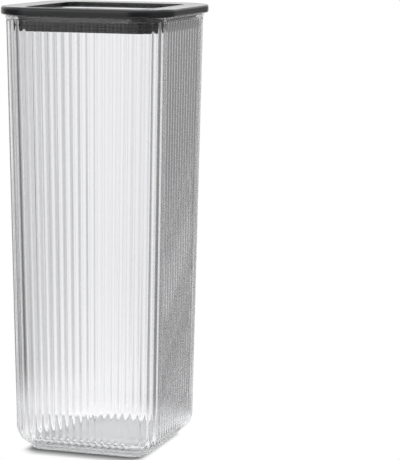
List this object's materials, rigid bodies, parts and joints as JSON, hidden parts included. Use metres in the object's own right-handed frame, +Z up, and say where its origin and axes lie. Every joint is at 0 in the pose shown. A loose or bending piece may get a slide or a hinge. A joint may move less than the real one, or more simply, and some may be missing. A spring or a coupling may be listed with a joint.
{
  "type": "lidded glass canister",
  "caption": "Tall square fluted clear canister for dry food, with a push-in black lid that has a gasket and a recess for stacking.",
  "frame": {"origin": "centre of the foot, on the surface that the canister stands on", "axes": "+Z up through the lid; +X and +Y square to two neighbouring sides, which are all alike"},
  "size_m": [0.1142, 0.1142, 0.2833],
  "materials": {
    "clear_glass": "fire-polished clear soda-lime glass",
    "clear_panel": "polished clear",
    "black_frame": "satin moulded",
    "black_plug": "moulded",
    "black_silicone": "soft matte silicone"
  },
  "bodies": {
    "canister": {"glass_body": "clear_glass"},
    "lid": {"lid_frame": "black_frame", "lid_panel": "clear_panel", "plug_ring": "black_plug", "lid_gasket": "black_silicone"}
  },
  "joints": [
    {"name": "lid_lift", "type": "slide", "parent": "canister", "child": "lid", "axis": [0, 0, 1], "range_m": [0, 0.03]}
  ]
}
